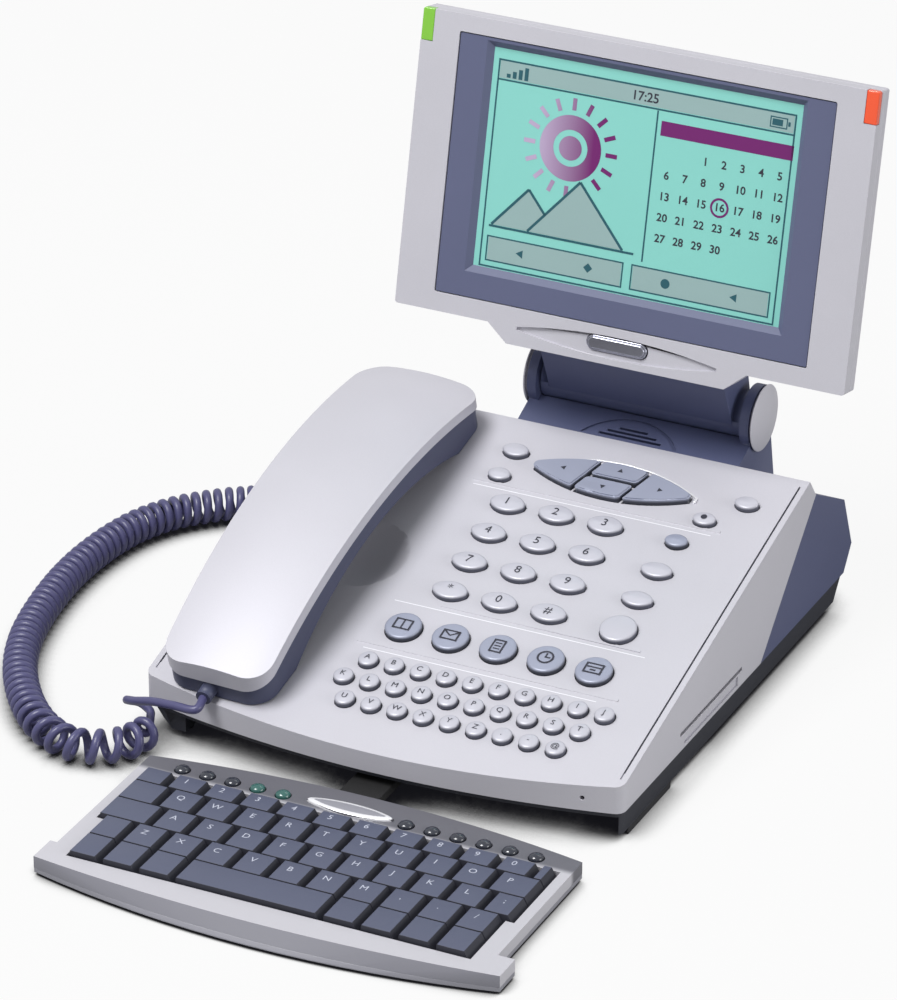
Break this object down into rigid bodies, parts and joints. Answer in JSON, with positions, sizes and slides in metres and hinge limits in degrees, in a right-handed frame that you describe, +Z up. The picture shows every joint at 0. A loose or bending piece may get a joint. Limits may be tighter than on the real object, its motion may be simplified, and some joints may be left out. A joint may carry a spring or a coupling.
{
  "type": "corded desk telephone with screen and keyboard",
  "caption": "Corded desk telephone with a cradle handset, sloping key panel, tilting screen on a hinge pod and a small typing keyboard that slides under the base.",
  "frame": {"origin": "on the table, under the middle of the telephone as it stands with its keyboard pulled out, measured without the cord", "axes": "+Z up, front (keyboard) towards -Y, handset towards -X, screen upper back"},
  "size_m": [0.3166, 0.3568, 0.2413],
  "materials": {
    "silver_plastic": "fine satin paint",
    "dark_plastic": "fine matt grain",
    "pod_plastic": "fine matt grain",
    "pale_keys": "satin",
    "grey_keys": "satin",
    "slate_keys": "fine matt grain",
    "dark_buttons": "gloss",
    "keyboard_silver": "fine satin paint",
    "keyboard_grey": "fine matt grain",
    "black_plastic": "matt",
    "rubber": "matt",
    "steel": "brushed",
    "circuit_board": "matt",
    "bright_trim": "bright",
    "mask_plastic": "fine matt grain",
    "display_glass": "matt film",
    "lamp_plastic": "clear tinted",
    "bright_button": "gloss",
    "cord_sleeve": "smooth satin"
  },
  "bodies": {
    "base": {"base_top_shell": "silver_plastic", "base_tray": "dark_plastic", "rear_cover": "pod_plastic", "base_feet": "rubber", "base_screws": "steel", "main_board": "circuit_board", "loudspeaker": "black_plastic", "nav_trim": "bright_trim", "hinge_shaft": "steel", "hinge_caps": "silver_plastic", "curly_cord": "cord_sleeve", "handset_lead": "cord_sleeve"},
    "screen": {"screen_bezel": "silver_plastic", "screen_mask": "mask_plastic", "lcd_panel": "display_glass", "screen_back_cover": "silver_plastic", "lamp_lenses": "lamp_plastic", "hinge_barrel": "pod_plastic"},
    "screen_button": {"screen_button": "bright_button"},
    "handset": {"handset_back_shell": "silver_plastic", "handset_front_shell": "dark_plastic", "receiver_capsule": "black_plastic", "microphone_capsule": "black_plastic"},
    "hook": {"hook_plunger": "pale_keys"},
    "keyboard": {"keyboard_top_case": "keyboard_silver", "keyboard_bottom_case": "keyboard_grey", "slide_arm": "black_plastic"},
    "typing_keys": {"typing_keys": "slate_keys"},
    "space_bar": {"space_bar": "slate_keys"},
    "strip_buttons": {"strip_buttons": "dark_buttons"},
    "digit_key_1": {"digit_key_1": "pale_keys"},
    "digit_key_2": {"digit_key_2": "pale_keys"},
    "digit_key_3": {"digit_key_3": "pale_keys"},
    "digit_key_4": {"digit_key_4": "pale_keys"},
    "digit_key_5": {"digit_key_5": "pale_keys"},
    "digit_key_6": {"digit_key_6": "pale_keys"},
    "digit_key_7": {"digit_key_7": "pale_keys"},
    "digit_key_8": {"digit_key_8": "pale_keys"},
    "digit_key_9": {"digit_key_9": "pale_keys"},
    "star_key": {"star_key": "pale_keys"},
    "digit_key_0": {"digit_key_0": "pale_keys"},
    "hash_key": {"hash_key": "pale_keys"},
    "memory_key_1": {"memory_key_1": "grey_keys"},
    "memory_key_2": {"memory_key_2": "grey_keys"},
    "memory_key_3": {"memory_key_3": "grey_keys"},
    "memory_key_4": {"memory_key_4": "grey_keys"},
    "memory_key_5": {"memory_key_5": "grey_keys"},
    "nav_key_left": {"nav_key_left": "grey_keys"},
    "nav_key_up": {"nav_key_up": "grey_keys"},
    "nav_key_down": {"nav_key_down": "grey_keys"},
    "nav_key_right": {"nav_key_right": "grey_keys"},
    "function_key_1": {"function_key_1": "pale_keys"},
    "function_key_2": {"function_key_2": "pale_keys"},
    "function_key_3": {"function_key_3": "pale_keys"},
    "function_key_4": {"function_key_4": "pale_keys"},
    "function_key_5": {"function_key_5": "pale_keys"},
    "function_key_6": {"function_key_6": "pale_keys"},
    "function_key_7": {"function_key_7": "pale_keys"},
    "function_key_8": {"function_key_8": "pale_keys"},
    "letter_keys": {"letter_keys": "pale_keys"}
  },
  "joints": [
    {"name": "keyboard_slide", "type": "slide", "parent": "base", "child": "keyboard", "axis": [0, 1, 0], "range_m": [0, 0.1]},
    {"name": "screen_tilt", "type": "hinge", "parent": "base", "child": "screen", "pos_m": [0.0162, 0.15303, 0.08564], "axis": [1, 0, 0], "range_deg": [-25, 8]},
    {"name": "handset_lift", "type": "slide", "parent": "base", "child": "handset", "axis": [0, -0.5, 0.866], "range_m": [0, 0.06]},
    {"name": "hook_travel", "type": "slide", "parent": "base", "child": "hook", "axis": [0, -0.2588, 0.9659], "range_m": [0, 0.004]},
    {"name": "screen_button_press", "type": "slide", "parent": "screen", "child": "screen_button", "axis": [0, 0.9751, -0.2215], "range_m": [0, 0.001], "stiffness_N_per_m": 250},
    {"name": "digit_key_1_press", "type": "slide", "parent": "base", "child": "digit_key_1", "axis": [0, 0.2588, -0.9659], "range_m": [0, 0.0016], "stiffness_N_per_m": 200},
    {"name": "digit_key_2_press", "type": "slide", "parent": "base", "child": "digit_key_2", "axis": [0, 0.2588, -0.9659], "range_m": [0, 0.0016], "stiffness_N_per_m": 200},
    {"name": "digit_key_3_press", "type": "slide", "parent": "base", "child": "digit_key_3", "axis": [0, 0.2588, -0.9659], "range_m": [0, 0.0016], "stiffness_N_per_m": 200},
    {"name": "digit_key_4_press", "type": "slide", "parent": "base", "child": "digit_key_4", "axis": [0, 0.2588, -0.9659], "range_m": [0, 0.0016], "stiffness_N_per_m": 200},
    {"name": "digit_key_5_press", "type": "slide", "parent": "base", "child": "digit_key_5", "axis": [0, 0.2588, -0.9659], "range_m": [0, 0.0016], "stiffness_N_per_m": 200},
    {"name": "digit_key_6_press", "type": "slide", "parent": "base", "child": "digit_key_6", "axis": [0, 0.2588, -0.9659], "range_m": [0, 0.0016], "stiffness_N_per_m": 200},
    {"name": "digit_key_7_press", "type": "slide", "parent": "base", "child": "digit_key_7", "axis": [0, 0.2588, -0.9659], "range_m": [0, 0.0016], "stiffness_N_per_m": 200},
    {"name": "digit_key_8_press", "type": "slide", "parent": "base", "child": "digit_key_8", "axis": [0, 0.2588, -0.9659], "range_m": [0, 0.0016], "stiffness_N_per_m": 200},
    {"name": "digit_key_9_press", "type": "slide", "parent": "base", "child": "digit_key_9", "axis": [0, 0.2588, -0.9659], "range_m": [0, 0.0016], "stiffness_N_per_m": 200},
    {"name": "star_key_press", "type": "slide", "parent": "base", "child": "star_key", "axis": [0, 0.2588, -0.9659], "range_m": [0, 0.0016], "stiffness_N_per_m": 200},
    {"name": "digit_key_0_press", "type": "slide", "parent": "base", "child": "digit_key_0", "axis": [0, 0.2588, -0.9659], "range_m": [0, 0.0016], "stiffness_N_per_m": 200},
    {"name": "hash_key_press", "type": "slide", "parent": "base", "child": "hash_key", "axis": [0, 0.2588, -0.9659], "range_m": [0, 0.0016], "stiffness_N_per_m": 200},
    {"name": "memory_key_1_press", "type": "slide", "parent": "base", "child": "memory_key_1", "axis": [0, 0.2588, -0.9659], "range_m": [0, 0.0016], "stiffness_N_per_m": 200},
    {"name": "memory_key_2_press", "type": "slide", "parent": "base", "child": "memory_key_2", "axis": [0, 0.2588, -0.9659], "range_m": [0, 0.0016], "stiffness_N_per_m": 200},
    {"name": "memory_key_3_press", "type": "slide", "parent": "base", "child": "memory_key_3", "axis": [0, 0.2588, -0.9659], "range_m": [0, 0.0016], "stiffness_N_per_m": 200},
    {"name": "memory_key_4_press", "type": "slide", "parent": "base", "child": "memory_key_4", "axis": [0, 0.2588, -0.9659], "range_m": [0, 0.0016], "stiffness_N_per_m": 200},
    {"name": "memory_key_5_press", "type": "slide", "parent": "base", "child": "memory_key_5", "axis": [0, 0.2588, -0.9659], "range_m": [0, 0.0016], "stiffness_N_per_m": 200},
    {"name": "nav_key_left_press", "type": "slide", "parent": "base", "child": "nav_key_left", "axis": [0, 0.2588, -0.9659], "range_m": [0, 0.0016], "stiffness_N_per_m": 200},
    {"name": "nav_key_up_press", "type": "slide", "parent": "base", "child": "nav_key_up", "axis": [0, 0.2588, -0.9659], "range_m": [0, 0.0016], "stiffness_N_per_m": 200},
    {"name": "nav_key_down_press", "type": "slide", "parent": "base", "child": "nav_key_down", "axis": [0, 0.2588, -0.9659], "range_m": [0, 0.0016], "stiffness_N_per_m": 200},
    {"name": "nav_key_right_press", "type": "slide", "parent": "base", "child": "nav_key_right", "axis": [0, 0.2588, -0.9659], "range_m": [0, 0.0016], "stiffness_N_per_m": 200},
    {"name": "function_key_1_press", "type": "slide", "parent": "base", "child": "function_key_1", "axis": [0, 0.2588, -0.9659], "range_m": [0, 0.0016], "stiffness_N_per_m": 200},
    {"name": "function_key_2_press", "type": "slide", "parent": "base", "child": "function_key_2", "axis": [0, 0.2588, -0.9659], "range_m": [0, 0.0016], "stiffness_N_per_m": 200},
    {"name": "function_key_3_press", "type": "slide", "parent": "base", "child": "function_key_3", "axis": [0, 0.2588, -0.9659], "range_m": [0, 0.0016], "stiffness_N_per_m": 200},
    {"name": "function_key_4_press", "type": "slide", "parent": "base", "child": "function_key_4", "axis": [0, 0.2588, -0.9659], "range_m": [0, 0.0016], "stiffness_N_per_m": 200},
    {"name": "function_key_5_press", "type": "slide", "parent": "base", "child": "function_key_5", "axis": [0, 0.2588, -0.9659], "range_m": [0, 0.0016], "stiffness_N_per_m": 200},
    {"name": "function_key_6_press", "type": "slide", "parent": "base", "child": "function_key_6", "axis": [0, 0.2588, -0.9659], "range_m": [0, 0.0016], "stiffness_N_per_m": 200},
    {"name": "function_key_7_press", "type": "slide", "parent": "base", "child": "function_key_7", "axis": [0, 0.2588, -0.9659], "range_m": [0, 0.0016], "stiffness_N_per_m": 200},
    {"name": "function_key_8_press", "type": "slide", "parent": "base", "child": "function_key_8", "axis": [0, 0.2588, -0.9659], "range_m": [0, 0.0016], "stiffness_N_per_m": 200},
    {"name": "letter_keys_press", "type": "slide", "parent": "base", "child": "letter_keys", "axis": [0, 0.2588, -0.9659], "range_m": [0, 0.0016], "stiffness_N_per_m": 1200},
    {"name": "typing_keys_press", "type": "slide", "parent": "keyboard", "child": "typing_keys", "axis": [0, 0, -1], "range_m": [0, 0.0018], "stiffness_N_per_m": 1600},
    {"name": "space_bar_press", "type": "slide", "parent": "keyboard", "child": "space_bar", "axis": [0, 0, -1], "range_m": [0, 0.0018], "stiffness_N_per_m": 250},
    {"name": "strip_buttons_press", "type": "slide", "parent": "keyboard", "child": "strip_buttons", "axis": [0, 0, -1], "range_m": [0, 0.0018], "stiffness_N_per_m": 600}
  ],
  "couplings": [
    {"joint": "hook_travel", "follows": "handset_lift", "ratio": 0.0666}
  ]
}
